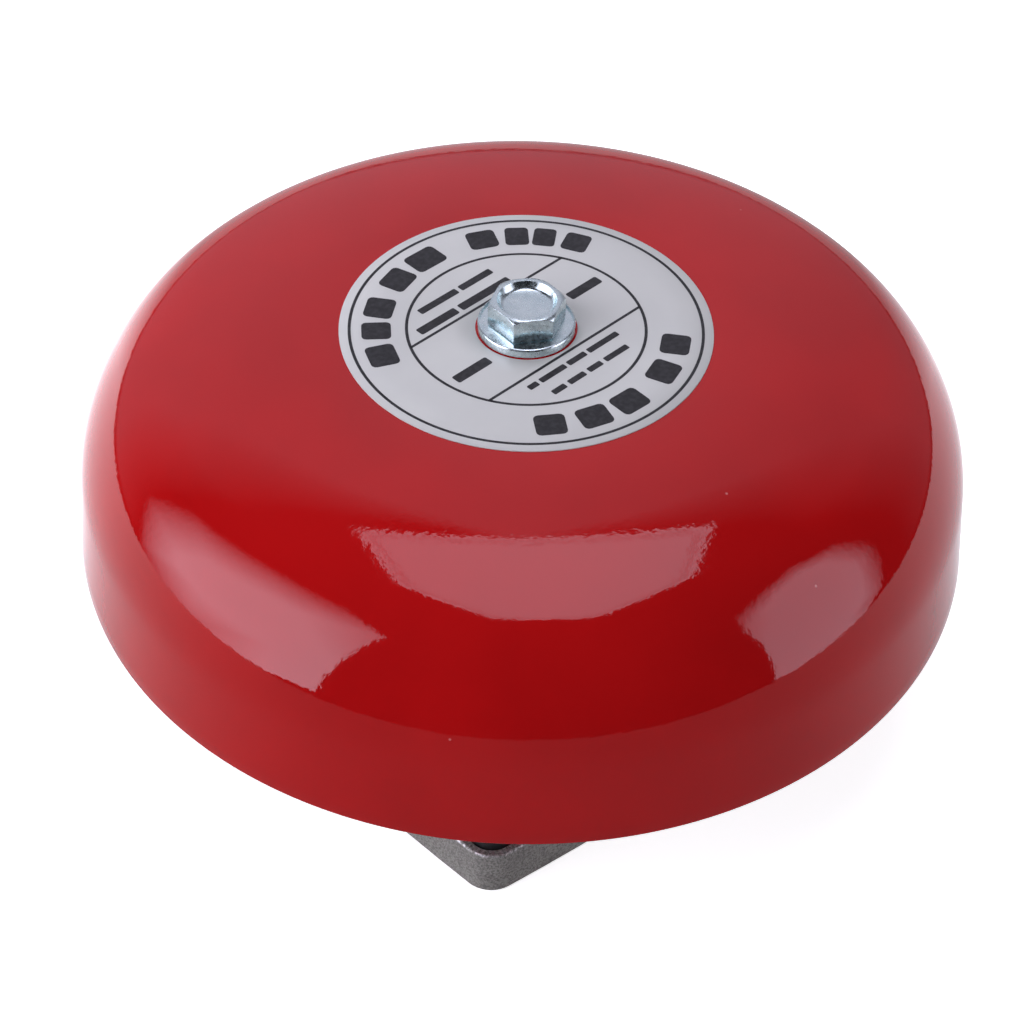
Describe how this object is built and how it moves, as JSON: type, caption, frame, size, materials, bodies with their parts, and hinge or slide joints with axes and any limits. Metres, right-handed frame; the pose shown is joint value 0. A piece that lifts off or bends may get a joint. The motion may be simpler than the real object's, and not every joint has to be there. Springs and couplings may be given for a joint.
{
  "type": "fire alarm bell",
  "caption": "Motor-driven fire alarm bell: a red steel gong over a cast back box, struck from inside by a sprung plunger.",
  "frame": {"origin": "middle of the back face of the back box, on the gong's axis, in the plane that lies on the wall", "axes": "+Z out of the wall through the gong; +Y up on the wall; the striker points along -Y, down on the wall"},
  "size_m": [0.15, 0.15, 0.0702],
  "materials": {
    "red_paint": "gloss red stoved enamel with fine dust nibs",
    "label": "white satin vinyl with black print",
    "zinc": "bright zinc plate",
    "rubber": "matt black",
    "steel": "turned steel",
    "cast_aluminium": "rough sand-textured casting, edges worn bright",
    "brass": "turned brass",
    "black_plastic": "spark-textured moulding",
    "magnet": "sintered ferrite",
    "bronze": "oiled sintered bronze",
    "carbon": "matt carbon",
    "lamination": "stacked steel laminations",
    "copper": "enamelled copper",
    "black_steel": "black oxide",
    "nylon": "natural nylon",
    "spring_steel": "drawn spring wire",
    "board": "green solder mask",
    "terminal_plastic": "green polyamide",
    "capacitor_yellow": "epoxy-filled case",
    "varistor_blue": "dipped epoxy",
    "red_wire": "PVC insulation",
    "black_wire": "PVC insulation"
  },
  "bodies": {
    "housing": {"gong": "red_paint", "gong_label": "label", "bolt_washer": "zinc", "gong_bolt": "zinc", "gong_isolator": "rubber", "gong_post": "steel", "post_lock_washer": "zinc", "post_nut": "zinc", "back_box": "cast_aluminium", "box_gasket": "rubber", "cable_grommet": "rubber", "earth_washer": "brass", "earth_screw": "brass", "chassis": "black_plastic", "chassis_screws": "zinc", "chassis_cover": "black_plastic", "cover_screws": "zinc", "motor_can": "steel", "motor_end_cap": "black_plastic", "motor_magnets": "magnet", "motor_screws": "zinc", "front_bearing": "bronze", "rear_bearing": "bronze", "carbon_brushes": "carbon", "brush_springs": "brass", "return_spring": "spring_steel", "guide_bush": "bronze", "rod_seal": "rubber", "bump_stop": "rubber", "circuit_board": "board", "board_screws": "zinc", "terminal_block": "terminal_plastic", "terminal_clamps": "brass", "terminal_screws": "zinc", "noise_capacitor": "capacitor_yellow", "varistor": "varistor_blue", "polarity_diode": "carbon", "red_lead": "red_wire", "black_lead": "black_wire"},
    "rotor": {"motor_shaft": "steel", "rotor_core": "lamination", "rotor_windings": "copper", "commutator": "copper", "cam_wheel": "brass", "kicker_pin": "steel", "cam_grub_screw": "black_steel"},
    "striker": {"striker_rod": "steel", "striker_head": "steel", "striker_collar": "brass", "striker_tail_pad": "nylon"}
  },
  "joints": [
    {"name": "motor_spin", "type": "hinge", "parent": "housing", "child": "rotor", "pos_m": [0, -0.026, 0.0072], "axis": [0, 0, 1], "continuous": true},
    {"name": "striker_slide", "type": "slide", "parent": "housing", "child": "striker", "axis": [0, -1, 0], "range_m": [0, 0.0035], "stiffness_N_per_m": 150, "springref_m": -0.003, "deforming": ["return_spring"]}
  ]
}
